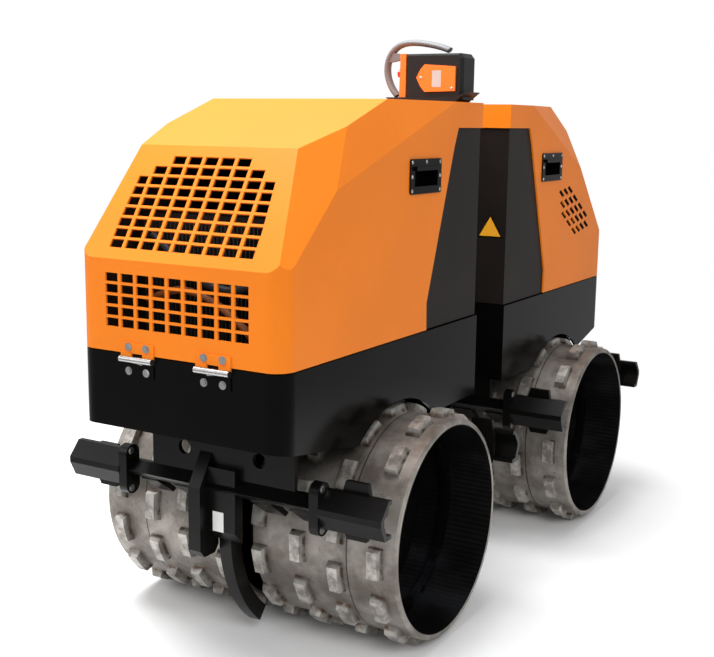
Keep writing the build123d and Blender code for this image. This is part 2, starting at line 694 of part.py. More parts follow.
def make_scraper(half, outward):
    """Inner scraper beam on its hanger plate, with the centre cheek and the teeth between the pad columns."""
    axle_y = place(half, AXLE_REACH)
    back = axle_y + outward * BAR_OFFSET
    thickness = 12.0
    with BuildPart() as scraper:
        with BuildSketch(Plane(origin=(0, back, 0), x_dir=(outward, 0, 0), z_dir=(0, -outward, 0)).offset(-thickness)):
            with Locations((0, (HANGER_LOW + FLOOR_LOW) / 2)):
                Rectangle(2 * HANGER_HALF, FLOOR_LOW - HANGER_LOW)
            with Locations((-TIE_HOLE_X, TIE_HOLE_Z), (TIE_HOLE_X, TIE_HOLE_Z)):
                Circle(TIE_HOLE_RADIUS, mode=Mode.SUBTRACT)
        extrude(amount=thickness)
        with BuildSketch(side_plane(-FLANGE_X)):
            with BuildLine():
                Polyline((back, BAR_Z - 20), (back, BAR_Z + 21), (back + outward * 12, BAR_Z + 21),
                         (back + outward * 40, BAR_Z), (back + outward * 32, BAR_Z - 8), (back + outward * 12, BAR_Z - 20),
                         close=True)
            make_face()
        extrude(amount=2 * FLANGE_X)
        for side in (-1, 1):
            for column, following in ((0, 1), (1, 2)):
                x = (DRUM_COLUMNS[column] + DRUM_COLUMNS[following]) / 2
                width = DRUM_COLUMNS[following] - DRUM_COLUMNS[column] - LUG_WIDTH - 2 * TOOTH_GAP
                add(comb_tooth(back, outward, width, side * x))
            add(flange_plate(back, outward, side * FLANGE_X - 6 - side * 6, 12))
        with BuildSketch(side_plane(-CHEEK_OUTER)):
            with BuildLine():
                Polyline((back - outward * 10, 262), (back + outward * 4, 244), (back + outward * 44, 244),
                         (back + outward * 60, 262), (back + outward * 60, 416), (back + outward * 14, 490),
                         (back - outward * 10, 490), close=True)
            make_face()
        extrude(amount=CHEEK_OUTER - CHEEK_INNER)
        with BuildSketch(side_plane(-CHEEK_INNER)):
            with BuildLine():
                Polyline((back, 280), (back + outward * 30, 310), (back + outward * 30, 462), (back, 462), close=True)
            make_face()
        extrude(amount=CHEEK_INNER + 52)
    return scraper.part


def make_scraper_ends(half):
    """Bolt-on outer beams behind the rings, two for each scraper, with their tooth plates."""
    axle_y = place(half, AXLE_REACH)
    start = FLANGE_X + 12
    with BuildPart() as ends:
        for outward in (-1, 1):
            back = axle_y + outward * BAR_OFFSET
            for side in (-1, 1):
                add(flange_plate(back, outward, side * (FLANGE_X + 6) - 6, 12))
                outer = [(back, BAR_Z - 44), (back + outward * 28, BAR_Z - 44), (back + outward * BAR_NOSE, BAR_Z - 8),
                         (back + outward * BAR_NOSE, BAR_Z + 6), (back + outward * 14, BAR_Z + 43), (back, BAR_Z + 43)]
                with BuildSketch(Plane(origin=(side * start, 0, 0), x_dir=(0, 1, 0), z_dir=(1, 0, 0))):
                    with BuildLine():
                        Polyline(*outer, close=True)
                    make_face()
                    with BuildLine():
                        Polyline(*[(back + (y - back) * 0.72 - outward * 1, BAR_Z + (z - BAR_Z) * 0.78) for y, z in outer],
                                 close=True)
                    make_face(mode=Mode.SUBTRACT)
                extrude(amount=side * (BAR_END - start))
                head = PLATE_HEAD if side > 0 else BAR_Z + 43
                with BuildSketch(Plane(origin=(0, back - outward * 10, 0), x_dir=(1, 0, 0), z_dir=(0, -1, 0))):
                    with BuildLine():
                        Polyline((side * start, BAR_Z + 20), (side * 318, BAR_Z + 20), (side * 332, head), (side * 388, head),
                                 (side * 396, BAR_Z + 30), (side * 396, BAR_Z - 44), (side * 386, TOOTH_LOW),
                                 (side * 336, TOOTH_LOW), (side * 326, BAR_Z - 44), (side * start, BAR_Z - 44),
                                 close=True)
                    make_face()
                extrude(amount=outward * -12)
    return ends.part


GUARD_INNER, GUARD_OUTER = 290.0, BAR_OFFSET - SEAT


def make_guards(half):
    """Curved cleaning guards in front of the slot between the two drums."""
    axle_y = place(half, AXLE_REACH)
    with BuildPart() as guards:
        for outward in (-1, 1):
            centre = (axle_y, AXLE_Z)
            points = {}
            for key, radius, angle in (("a", GUARD_OUTER, 12), ("b", GUARD_OUTER, -20), ("c", GUARD_OUTER, -50),
                                       ("d", GUARD_INNER, -50), ("e", GUARD_INNER, -20), ("f", GUARD_INNER, 12)):
                points[key] = (centre[0] + outward * radius * cos(radians(angle)), centre[1] + radius * sin(radians(angle)))
            with BuildSketch(side_plane(-GUARD_HALF)):
                with BuildLine():
                    ThreePointArc(points["a"], points["b"], points["c"])
                    Line(points["c"], points["d"])
                    ThreePointArc(points["d"], points["e"], points["f"])
                    Line(points["f"], points["a"])
                make_face()
            extrude(amount=2 * GUARD_HALF)
    return guards.part


# Heavy inner masses

def make_engine():
    """Plain block for the engine and its pump, on the front floor."""
    with BuildPart() as engine:
        with BuildSketch(Plane.XY.offset(FLOOR_TOP)):
            with Locations((0, place(FRONT, 530))):
                Rectangle(400, 400)
        extrude(amount=430)
    return engine.part


def make_cooler():
    """Plain block for the oil cooler and its fan cowl behind the grille."""
    with BuildPart() as cooler:
        with BuildSketch(Plane.XY.offset(FLOOR_TOP)):
            with Locations((0, place(FRONT, 850))):
                Rectangle(430, 90)
        extrude(amount=440)
    return cooler.part


def make_tank():
    """Plain block for the fuel and oil tanks on the rear floor."""
    with BuildPart() as tank:
        with BuildSketch(Plane.XY.offset(FLOOR_TOP)):
            with Locations((0, place(REAR, 520))):
                Rectangle(420, 420)
        extrude(amount=380)
    return tank.part


# Remote control, resting on the front hood

REMOTE_Y = place(FRONT, 165.0)       # middle of the remote's depth
REMOTE_LEFT, REMOTE_RIGHT = 104.0, 268.0
REMOTE_DEPTH = 76.0
REMOTE_BASE, REMOTE_HEAD = 1320.0, 1432.0
STRIP_WIDTH = 19.0


def front_sketch_plane(y):
    """Plane facing the front: local x along X, local y up."""
    return Plane(origin=(0, y, 0), x_dir=(1, 0, 0), z_dir=(0, -1, 0))


def make_remote_box():
    """Remote housing on its flared foot tray."""
    face = REMOTE_Y - REMOTE_DEPTH / 2
    with BuildPart() as box:
        with BuildSketch(front_sketch_plane(face + 14)):
            with BuildLine():
                Polyline((REMOTE_LEFT, REMOTE_BASE - 6), (REMOTE_RIGHT, REMOTE_BASE - 6), (REMOTE_RIGHT, REMOTE_HEAD - 12),
                         (REMOTE_RIGHT - 10, REMOTE_HEAD), (REMOTE_LEFT, REMOTE_HEAD), close=True)
            make_face()
        extrude(amount=14, taper=22)
        with BuildSketch(front_sketch_plane(face + 14)):
            with BuildLine():
                Polyline((REMOTE_LEFT, REMOTE_BASE - 6), (REMOTE_RIGHT, REMOTE_BASE - 6), (REMOTE_RIGHT, REMOTE_HEAD - 12),
                         (REMOTE_RIGHT - 10, REMOTE_HEAD), (REMOTE_LEFT, REMOTE_HEAD), close=True)
            make_face()
        extrude(amount=-REMOTE_DEPTH + 14)
        with BuildSketch(front_sketch_plane(face - 6)):
            with BuildLine():
                Polyline((58, HOOD_TOP), (252, HOOD_TOP), (284, REMOTE_BASE + 14), (252, REMOTE_BASE), (50, REMOTE_BASE),
                         close=True)
            make_face()
        extrude(amount=-REMOTE_DEPTH - 12)
    return box.part


def make_remote_cover():
    """Battery cover on the front of the remote and the panel with the stop button on its left end."""
    face = REMOTE_Y - REMOTE_DEPTH / 2
    with BuildPart() as cover:
        with BuildSketch(front_sketch_plane(face)):
            with BuildLine():
                Polyline((140, 1370), (152, 1392), (164, 1404), (252, 1398), (252, 1336), (164, 1334), (152, 1348), close=True)
            make_face()
        extrude(amount=6)
        with BuildSketch(front_sketch_plane(face + 2)):
            with BuildLine():
                Polyline((REMOTE_LEFT - STRIP_WIDTH, REMOTE_BASE), (REMOTE_LEFT, REMOTE_BASE), (REMOTE_LEFT, REMOTE_HEAD),
                         (REMOTE_LEFT - STRIP_WIDTH + 3, REMOTE_HEAD), close=True)
            make_face()
        extrude(amount=-REMOTE_DEPTH + 4)
    return cover.part


def make_remote_button():
    with BuildPart() as button:
        with BuildSketch(side_plane(REMOTE_LEFT - STRIP_WIDTH + 1.5)):
            with Locations((REMOTE_Y - REMOTE_DEPTH / 4, 1382)):
                Circle(10)
        extrude(amount=-11)
    return button.part


def make_remote_handle():
    """Bail round the left and upper side of the remote with a strut to its panel."""
    points = [(62, REMOTE_BASE + 5), (40, 1354), (30, 1392), (38, 1428), (64, 1454), (104, 1462), (160, 1456),
              (194, REMOTE_HEAD + 16), (214, REMOTE_HEAD + 9)]
    with BuildPart() as handle:
        with BuildLine():
            Spline(*[(x, REMOTE_Y, z) for x, z in points])
        with BuildSketch(Plane(origin=(points[0][0], REMOTE_Y, points[0][1]), x_dir=(0, 1, 0), z_dir=(-22, 0, 34))):
            Ellipse(13, 8.5)
        sweep()
        with BuildSketch(front_sketch_plane(REMOTE_Y - 9)):
            with BuildLine():
                Polyline((36, 1412), (86, 1420), (86, 1432), (44, 1438), close=True)
            make_face()
        extrude(amount=-18)
    return handle.part


NAMES = {FRONT: "front", REAR: "rear"}
SIDES = {-1: "left", 1: "right"}

for half, word in NAMES.items():
    for side, hand in SIDES.items():
        save(make_drum(half, side), f"{word}_drum_{hand}")
        save(make_ring(half, side), f"{word}_ring_{hand}")
    save(make_discs(half), f"{word}_discs")
    save(make_axle(half), f"{word}_axle")
    save(make_carrier(half), f"{word}_carrier")
    save(make_chassis(half), f"{word}_chassis")
    save(make_hood(half), f"{word}_hood")
    save(make_cowl(half), f"{word}_cowl")
    save(make_handles(half), f"{word}_handles")
    save(make_hinge_leaves(half, True), f"{word}_hinge_upper")
    save(make_hinge_leaves(half, False), f"{word}_hinge_lower")
    save(make_scraper(half, half), f"{word}_scraper_outer")
    save(make_scraper(half, -half), f"{word}_scraper_inner")
    save(make_scraper_ends(half), f"{word}_scraper_ends")
    save(make_guards(half), f"{word}_guards")

save(make_grille(), "front_grille")
save(make_yoke(), "steering_yoke")
save(make_joint_block(), "joint_block")
save(make_bearing(), "joint_bearing")
save(make_barrel(), "steering_barrel")
save(make_rod(), "steering_rod")
save(make_engine(), "engine")
save(make_cooler(), "cooler")
save(make_tank(), "tank")
save(make_remote_box(), "remote_box")
save(make_remote_cover(), "remote_cover")
save(make_remote_button(), "remote_button")
save(make_remote_handle(), "remote_handle")
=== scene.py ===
# %% [markdown]
# # An articulated trench roller in a white studio
#
# The solids of the roller come from a CAD model, so this lesson is about what such a model leaves out:
# paint, worn steel, bolt heads, rivets, blank plates, cooling fins, pipes, light and a camera.
# Each cell first says what is made and why it is made that way, then makes it and prints a short report.
# Run the cells in order from the top.

# %% Load the frame
from math import cos, hypot, pi, sin

import bpy
from mathutils import Matrix, Vector


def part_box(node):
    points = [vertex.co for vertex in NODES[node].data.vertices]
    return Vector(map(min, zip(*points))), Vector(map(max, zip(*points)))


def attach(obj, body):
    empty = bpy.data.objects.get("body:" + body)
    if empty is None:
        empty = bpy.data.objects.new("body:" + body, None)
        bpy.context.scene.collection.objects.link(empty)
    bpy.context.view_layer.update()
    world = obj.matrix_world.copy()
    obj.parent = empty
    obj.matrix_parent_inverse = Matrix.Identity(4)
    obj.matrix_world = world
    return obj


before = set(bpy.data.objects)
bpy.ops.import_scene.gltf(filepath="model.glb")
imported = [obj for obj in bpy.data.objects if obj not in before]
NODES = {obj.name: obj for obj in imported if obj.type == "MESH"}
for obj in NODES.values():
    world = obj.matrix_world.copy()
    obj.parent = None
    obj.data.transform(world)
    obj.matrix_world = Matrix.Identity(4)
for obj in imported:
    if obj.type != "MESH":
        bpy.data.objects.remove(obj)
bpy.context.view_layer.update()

scene = bpy.context.scene

# Places and sizes of the machine, in metres
AXLE = {"front": -0.4815, "rear": 0.5785}
AXLE_Z = 0.288
HINGE_Y = {"front": -0.9908, "rear": 0.9908}
HINGE_Z = 0.73
KNUCKLE_REACH = 0.0085
SEAM_X = 0.297
SHELL_INSIDE = 0.254
SHELL_RADIUS = 0.268

# %% [markdown]
# ## Small helpers for materials
#
# Every finish here is procedural. It starts from Object coordinates, which travel with a piece when its
# joint moves, so a scratch or a rust spot stays where it is on the metal.
# A few helpers keep each material to a handful of lines: a noise pattern, a smooth step between two
# values, a blend of two colours and a bump.


# %% Material helpers
def start_material(name):
    material = bpy.data.materials.new(name)
    material.use_nodes = True
    tree = material.node_tree
    tree.nodes.clear()
    output = tree.nodes.new("ShaderNodeOutputMaterial")
    shader = tree.nodes.new("ShaderNodeBsdfPrincipled")
    tree.links.new(shader.outputs[0], output.inputs[0])
    return material, tree, shader


def place_of(tree):
    return tree.nodes.new("ShaderNodeTexCoord").outputs["Object"]


def noise(tree, scale, detail=3.0, roughness=0.55, stretch=(1, 1, 1)):
    mapping = tree.nodes.new("ShaderNodeMapping")
    mapping.inputs["Scale"].default_value = stretch
    tree.links.new(place_of(tree), mapping.inputs["Vector"])
    pattern = tree.nodes.new("ShaderNodeTexNoise")
    pattern.inputs["Scale"].default_value = scale
    pattern.inputs["Detail"].default_value = detail
    pattern.inputs["Roughness"].default_value = roughness
    tree.links.new(mapping.outputs[0], pattern.inputs["Vector"])
    return pattern.outputs[0]


def step(tree, value, start, end):
    ramp = tree.nodes.new("ShaderNodeMapRange")
    ramp.interpolation_type = "SMOOTHSTEP"
    ramp.inputs["From Min"].default_value = start
    ramp.inputs["From Max"].default_value = end
    tree.links.new(value, ramp.inputs["Value"])
    return ramp.outputs[0]


def calc(tree, operation, first, second=None):
    node = tree.nodes.new("ShaderNodeMath")
    node.operation = operation
    for socket, value in zip(node.inputs, (first, second)):
        if isinstance(value, (int, float)):
            socket.default_value = value
        elif value is not None:
            tree.links.new(value, socket)
    return node.outputs[0]


def blend_colours(tree, share, first, second):
    node = tree.nodes.new("ShaderNodeMix")
    node.data_type = "RGBA"
    tree.links.new(share, node.inputs[0])
    for socket, colour in ((node.inputs[6], first), (node.inputs[7], second)):
        if isinstance(colour, tuple):
            socket.default_value = (*colour, 1)
        else:
            tree.links.new(colour, socket)
    return node.outputs[2]


def bump(tree, shader, height, strength, distance):
    node = tree.nodes.new("ShaderNodeBump")
    node.inputs["Strength"].default_value = strength
    node.inputs["Distance"].default_value = distance
    tree.links.new(height, node.inputs["Height"])
    tree.links.new(node.outputs[0], shader.inputs["Normal"])


print("helpers ready")

# %% [markdown]
# ## Sprayed paint
#
# Sprayed panels are never one flat colour: the coat varies a little in depth and its surface has a fine
# orange-peel ripple. Both come from noise, one broad and faint for the colour, one fine for the bump. A
# low roughness gives the tight highlights of gloss paint, and the satin covers are rougher. Only the
# stop button wears a clear coat on top.


# %% Paints and plastics
def paint(name, colour, roughness, coat=0.0, ripple=0.03, drift=0.08, metallic=0.0, shine=0.5):
    material, tree, shader = start_material(name)
    deep = tuple(c * (1 - drift) for c in colour)
    pale = tuple(min(1.0, c * (1 + drift)) for c in colour)
    tone = blend_colours(tree, step(tree, noise(tree, 4.0, 4.0), 0.35, 0.65), deep, pale)
    tree.links.new(tone, shader.inputs["Base Color"])
    shader.inputs["Roughness"].default_value = roughness
    shader.inputs["Metallic"].default_value = metallic
    shader.inputs["Specular IOR Level"].default_value = shine
    shader.inputs["Coat Weight"].default_value = coat
    shader.inputs["Coat Roughness"].default_value = 0.06
    bump(tree, shader, noise(tree, 260.0, 2.0), ripple, 0.001)
    return material


orange = paint("orange gloss", (0.82, 0.205, 0.010), 0.38, drift=0.025, shine=0.22)
hood_inside = paint("dark inside of the hood", (0.035, 0.02, 0.012), 0.6)
black = paint("black gloss", (0.0022, 0.0018, 0.0017), 0.16, drift=0.2, shine=0.1)
black_iron = paint("black on iron", (0.0035, 0.0032, 0.003), 0.3, ripple=0.08, drift=0.25, shine=0.16)
satin = paint("satin dark cover", (0.013, 0.0098, 0.0085), 0.42, drift=0.15, shine=0.12)
zinc = paint("zinc plate", (0.45, 0.45, 0.44), 0.3, ripple=0.05, metallic=1.0)
bright = paint("polished rod", (0.75, 0.75, 0.76), 0.12, ripple=0.0, metallic=1.0)
machined = paint("machined steel", (0.4, 0.39, 0.38), 0.32, ripple=0.05, metallic=1.0)
casting = paint("dark casting", (0.05, 0.045, 0.04), 0.6, ripple=0.4, drift=0.3)
fins = paint("cooler fins", (0.05, 0.045, 0.04), 0.45, metallic=0.4)
copper_brown = paint("brown pipe", (0.35, 0.11, 0.03), 0.4, drift=0.3)
rubber = paint("rubber hose", (0.012, 0.012, 0.012), 0.55)
case_black = paint("remote case", (0.01, 0.01, 0.0105), 0.42, ripple=0.2, shine=0.25)
case_orange = paint("remote cover", (0.86, 0.17, 0.012), 0.35)
case_red = paint("stop button", (0.55, 0.012, 0.008), 0.25, coat=0.4)
case_grey = paint("remote bail", (0.16, 0.165, 0.17), 0.5, ripple=0.2)
white_label = paint("white label", (0.75, 0.75, 0.73), 0.5)
sign_yellow = paint("sign yellow", (0.9, 0.4, 0.02), 0.4)
label_grey = paint("grey label", (0.4, 0.42, 0.42), 0.45)
print("paints and plastics ready")

# %% [markdown]
# ## Worn drum steel
#
# A padfoot drum tells its age by radius. The pads are polished by stones, so they are brightest; the
# shell between them is brown-grey; rust gathers at the foot of each pad; and the inside is painted
# black. The material therefore measures the distance of each point from its own axle and switches
# colour along it. The two axles lie at different places, so each half gets its own copy with its own
# axle.


# %% Drum steel by distance from the axle
def drum_steel(name, axle_y):
    material, tree, shader = start_material(name)
    split = tree.nodes.new("ShaderNodeSeparateXYZ")
    tree.links.new(place_of(tree), split.inputs[0])
    along, across, up = split.outputs
    behind = calc(tree, "ABSOLUTE", calc(tree, "SUBTRACT", across, axle_y))
    above = calc(tree, "ABSOLUTE", calc(tree, "SUBTRACT", up, AXLE_Z))
    squares = calc(tree, "ADD", calc(tree, "POWER", behind, 2.0), calc(tree, "POWER", above, 2.0))
    from_axle = calc(tree, "SQRT", squares)

    # Shell and pads
    grain = noise(tree, 26.0, 6.0, 0.65)
    blotch = noise(tree, 9.0, 5.0, 0.6)
    shell = blend_colours(tree, step(tree, blotch, 0.35, 0.66), (0.125, 0.109, 0.094), (0.3, 0.278, 0.25))
    pad = blend_colours(tree, step(tree, grain, 0.38, 0.62), (0.2, 0.184, 0.163), (0.46, 0.44, 0.405))
    metal = blend_colours(tree, step(tree, from_axle, SHELL_RADIUS + 0.003, SHELL_RADIUS + 0.016), shell, pad)

    # Rust at the foot of the pads, and small spots of it anywhere
    lower = step(tree, from_axle, SHELL_RADIUS - 0.0004, SHELL_RADIUS + 0.0015)
    upper = calc(tree, "SUBTRACT", 1.0, step(tree, from_axle, SHELL_RADIUS + 0.005, SHELL_RADIUS + 0.013))
    foot = calc(tree, "MULTIPLY", lower, upper)
    rust = calc(tree, "MULTIPLY", foot, step(tree, noise(tree, 38.0, 4.0), 0.46, 0.6))
    spots = calc(tree, "MULTIPLY", step(tree, noise(tree, 55.0, 5.0, 0.7), 0.62, 0.7), 0.6)
    rusty = blend_colours(tree, calc(tree, "MAXIMUM", rust, spots), metal, (0.085, 0.05, 0.03))

    # Dark line where the ring meets the drum
    off_seam = calc(tree, "ABSOLUTE", calc(tree, "SUBTRACT", calc(tree, "ABSOLUTE", along), SEAM_X))
    line = calc(tree, "SUBTRACT", 1.0, step(tree, off_seam, 0.0008, 0.0024))
    beyond_shell = step(tree, from_axle, SHELL_RADIUS + 0.0005, SHELL_RADIUS + 0.0015)
    on_shell = calc(tree, "SUBTRACT", 1.0, beyond_shell)
    seamed = blend_colours(tree, calc(tree, "MULTIPLY", line, on_shell), rusty, (0.03, 0.026, 0.022))

    # Black paint inside, which is no metal and shines less
    inside = calc(tree, "SUBTRACT", 1.0, step(tree, from_axle, SHELL_INSIDE - 0.0002, SHELL_INSIDE + 0.0016))
    streak = step(tree, noise(tree, 7.0, 3.0, 0.5, (0.4, 1, 1)), 0.5, 0.75)
    dark = blend_colours(tree, streak, (0.002, 0.002, 0.0025), (0.012, 0.013, 0.016))
    tree.links.new(blend_colours(tree, inside, seamed, dark), shader.inputs["Base Color"])
    bare = calc(tree, "MULTIPLY", calc(tree, "SUBTRACT", 1.0, inside), 0.55)
    tree.links.new(bare, shader.inputs["Metallic"])
    shine = calc(tree, "MULTIPLY", calc(tree, "SUBTRACT", 1.05, inside), 0.45)
    tree.links.new(shine, shader.inputs["Specular IOR Level"])
    shader.inputs["Roughness"].default_value = 0.46
    bump(tree, shader, calc(tree, "ADD", grain, noise(tree, 140.0, 3.0)), 0.5, 0.0012)
    return material


steel = {half: drum_steel(f"worn {half} drum steel", axle_y) for half, axle_y in AXLE.items()}
print("drum steel for", ", ".join(steel))

# %% [markdown]
# ## Dress the CAD solids
#
# The shapes of the solids stay exactly as they are; only their material slots are filled.
# The hood is one folded sheet, orange outside and dark inside. A face belongs to the inside when it
# looks back towards the middle of the hood, so one comparison per face sorts them. The leaves of a
# hinge are painted with the panel that they lie on, and only the faces close to the hinge line stay
# bare zinc.

# %% Assign materials to the solids
FINISH = {
    "cowl": satin, "handles": black, "chassis": black, "carrier": black_iron, "axle": machined,
    "discs": black_iron, "scraper_outer": black_iron, "scraper_inner": black_iron, "scraper_ends": black_iron,
    "guards": black_iron,
}
SINGLE = {
    "front_grille": orange, "steering_yoke": black_iron, "joint_block": machined, "joint_bearing": black_iron,
    "steering_barrel": black_iron, "steering_rod": bright, "engine": casting, "cooler": satin,
    "tank": black_iron, "remote_box": case_black, "remote_cover": case_orange, "remote_button": case_red,
    "remote_handle": case_grey,
}


def dress(node, *materials):
    slots = NODES[node].data.materials
    while len(slots) < len(materials):
        slots.append(None)
    for index, material in enumerate(materials):
        slots[index] = material


def dress_hood(half):
    """Orange outside, dark inside."""
    node = f"{half}_hood"
    dress(node, orange, hood_inside)
    corner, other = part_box(node)
    middle = (corner + other) / 2
    for face in NODES[node].data.polygons:
        face.material_index = 1 if face.normal.dot(middle - face.center) > 0.02 else 0


def dress_hinge(half, leaf, coat):
    """Painted leaf with a bare knuckle."""
    node = f"{half}_{leaf}"
    dress(node, coat, zinc)
    for face in NODES[node].data.polygons:
        reach = hypot(face.center.y - HINGE_Y[half], face.center.z - HINGE_Z)
        face.material_index = 1 if reach < KNUCKLE_REACH else 0


for half in AXLE:
    for word, material in FINISH.items():
        dress(f"{half}_{word}", material)
    for word in ("drum_left", "drum_right", "ring_left", "ring_right"):
        dress(f"{half}_{word}", steel[half])
    dress_hood(half)
    dress_hinge(half, "hinge_upper", orange)
    dress_hinge(half, "hinge_lower", black)
for node, material in SINGLE.items():
    dress(node, material)
print("dressed", len(NODES), "nodes")

# %% [markdown]
# ## Finding a surface
#
# A bolt head looks right only when it sits on its plate. Instead of typing in depths, the scene sends a
# straight line from outside and takes the first solid that it meets, as a modeller would snap to a face.
# A line that meets a slope is dropped, because a head there would stand askew.


# %% Probe for a surface
SQUARE_ON = 0.98


def touch(nodes, start, direction):
    """(place, normal) where a straight line first meets one of these solids, or None."""
    start, direction = Vector(start), Vector(direction).normalized()
    best = None
    for name in nodes:
        hit, place, normal, _ = NODES[name].ray_cast(start, direction)
        if hit and (best is None or (place - start).length < (best[0] - start).length):
            best = place, normal
    return best


def seats(nodes, starts, direction):
    """(place, outward axis) for each line that meets a face square on."""
    outward = -Vector(direction).normalized()
    found = [touch(nodes, start, direction) for start in starts]
    return [(tuple(hit[0]), tuple(outward)) for hit in found if hit and hit[1].dot(outward) > SQUARE_ON]


def link(obj):
    scene.collection.objects.link(obj)
    return obj


hood_top = touch(["front_hood"], (0.2, -0.3, 2.0), (0, 0, -1))
print("probe meets the front hood at height", round(hood_top[0].z, 4))

# %% [markdown]
# ## Bolt heads and rivets with Geometry Nodes
#
# More than a hundred heads share two shapes, so a node tree makes one and repeats it. The tree reads a
# cloud of points, each with an outward axis stored on it. It places a head on every point, turns it to
# that axis, spins it by a random amount from a fixed seed (no fitter stops every hexagon at the same
# angle), makes the copies real and gives them their metal. The sizes are inputs of the tree, so one
# tree serves every hexagon bolt on the machine.


# %% Build the head tree
def head_tree(name, dome):
    tree = bpy.data.node_groups.new(name, "GeometryNodeTree")
    sockets = tree.interface
    sockets.new_socket("Geometry", in_out="INPUT", socket_type="NodeSocketGeometry")
    for label in ("Head radius", "Head height", "Washer radius"):
        sockets.new_socket(label, in_out="INPUT", socket_type="NodeSocketFloat")
    sockets.new_socket("Turn seed", in_out="INPUT", socket_type="NodeSocketInt")
    sockets.new_socket("Finish", in_out="INPUT", socket_type="NodeSocketMaterial")
    sockets.new_socket("Geometry", in_out="OUTPUT", socket_type="NodeSocketGeometry")
    new, join = tree.nodes.new, tree.links.new
    given, out = new("NodeGroupInput"), new("NodeGroupOutput")

    washer = new("GeometryNodeMeshCylinder")
    washer.inputs["Vertices"].default_value = 14
    join(given.outputs["Washer radius"], washer.inputs["Radius"])
    join(given.outputs["Head height"], washer.inputs["Depth"])
    flat = new("GeometryNodeTransform")
    flat.inputs["Scale"].default_value = (1, 1, 0.5)
    join(washer.outputs["Mesh"], flat.inputs["Geometry"])

    if dome:
        head = new("GeometryNodeMeshUVSphere")
        head.inputs["Segments"].default_value = 10
        head.inputs["Rings"].default_value = 6
        lift = new("GeometryNodeTransform")
        lift.inputs["Scale"].default_value = (1, 1, 0.55)
    else:
        head = new("GeometryNodeMeshCylinder")
        head.inputs["Vertices"].default_value = 6
        double = new("ShaderNodeMath")
        double.operation = "MULTIPLY"
        double.inputs[1].default_value = 2.0
        join(given.outputs["Head height"], double.inputs[0])
        join(double.outputs[0], head.inputs["Depth"])
        lift = new("GeometryNodeTransform")
    join(given.outputs["Head radius"], head.inputs["Radius"])
    join(head.outputs["Mesh"], lift.inputs["Geometry"])

    both = new("GeometryNodeJoinGeometry")
    join(flat.outputs[0], both.inputs[0])
    join(lift.outputs[0], both.inputs[0])

    axis = new("GeometryNodeInputNamedAttribute")
    axis.data_type = "FLOAT_VECTOR"
    axis.inputs["Name"].default_value = "axis"
    align = new("FunctionNodeAlignRotationToVector")
    align.axis = "Z"
    join(axis.outputs["Attribute"], align.inputs["Vector"])
    chance = new("FunctionNodeRandomValue")
    chance.data_type = "FLOAT"
    join(given.outputs["Turn seed"], chance.inputs["Seed"])
    spin = new("ShaderNodeCombineXYZ")
    join(chance.outputs[1], spin.inputs["Z"])
    turn = new("FunctionNodeEulerToRotation")
    join(spin.outputs[0], turn.inputs[0])
    turned = new("FunctionNodeRotateRotation")
    turned.rotation_space = "LOCAL"
    join(align.outputs[0], turned.inputs[0])
    join(turn.outputs[0], turned.inputs[1])

    copies = new("GeometryNodeInstanceOnPoints")
    join(given.outputs["Geometry"], copies.inputs["Points"])
    join(both.outputs[0], copies.inputs["Instance"])
    join(turned.outputs[0], copies.inputs["Rotation"])
    real = new("GeometryNodeRealizeInstances")
    join(copies.outputs[0], real.inputs[0])
    metal = new("GeometryNodeSetMaterial")
    join(real.outputs[0], metal.inputs["Geometry"])
    join(given.outputs["Finish"], metal.inputs["Material"])
    join(metal.outputs[0], out.inputs[0])
    return tree


def plain_copy(source, name):
    """The evaluated shape as a plain mesh at the origin; the source goes."""
    graph = bpy.context.evaluated_depsgraph_get()
    mesh = bpy.data.meshes.new_from_object(source.evaluated_get(graph))
    bpy.data.objects.remove(source)
    mesh.name = name
    return link(bpy.data.objects.new(name, mesh))


def run_tree(tree, name, body, points, **values):
    """Runs a tree over points and leaves one plain mesh that rides on a body."""
    mesh = bpy.data.meshes.new(name + "_points")
    mesh.from_pydata([place for place, _ in points], [], [])
    stored = mesh.attributes.new("axis", "FLOAT_VECTOR", "POINT")
    stored.data.foreach_set("vector", [c for _, axis in points for c in axis])
    source = link(bpy.data.objects.new(name + "_points", mesh))
    modifier = source.modifiers.new("heads", "NODES")
    modifier.node_group = tree
    for item in tree.interface.items_tree:
        key = item.name.lower().replace(" ", "_")
        if item.in_out == "INPUT" and key in values:
            modifier[item.identifier] = values[key]
    piece = plain_copy(source, name)
    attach(piece, body)
    print(name, len(points), "places,", len(piece.data.polygons), "faces")
    return piece


hex_heads = head_tree("hex heads", dome=False)
dome_heads = head_tree("dome rivets", dome=True)

# %% [markdown]
# ## Bolts of the hinges and the scrapers
#
# Four bolts hold each hinge on the end face, two in the hood and two in the tub below it. Both sets are
# probed from outside, along the machine, so they land on their plates.
# The scraper bar is joined by pairs of upright flanges. A bolt goes through both, so it shows a head on
# either side.

# %% Place the bolts on each half
HINGE_BOLT = dict(head_radius=0.0068, head_height=0.0028, washer_radius=0.0095)
FLANGE_BOLT = dict(head_radius=0.0068, head_height=0.0032, washer_radius=0.0092)
HINGE_BOLT_X = (-0.13, -0.08, 0.08, 0.13)
HOOD_BOLT_Z, TUB_BOLT_Z = 0.757, 0.703
FLANGE_FACES = ((0.263, -1), (0.287, 1))
FLANGE_BOLT_REACH = 0.356
FLANGE_BOLT_Z = (0.461, 0.367)
WELL_OUTSIDE = 1.3


def flange_bolts(half):
    """(place, axis) of a head on both sides of each flange pair, before and behind the drums."""
    found = []
    for away in (-1, 1):
        y = AXLE[half] + away * FLANGE_BOLT_REACH
        for side in (-1, 1):
            for z in FLANGE_BOLT_Z:
                found += [((side * x, y, z), (side * turn, 0, 0)) for x, turn in FLANGE_FACES]
    return found


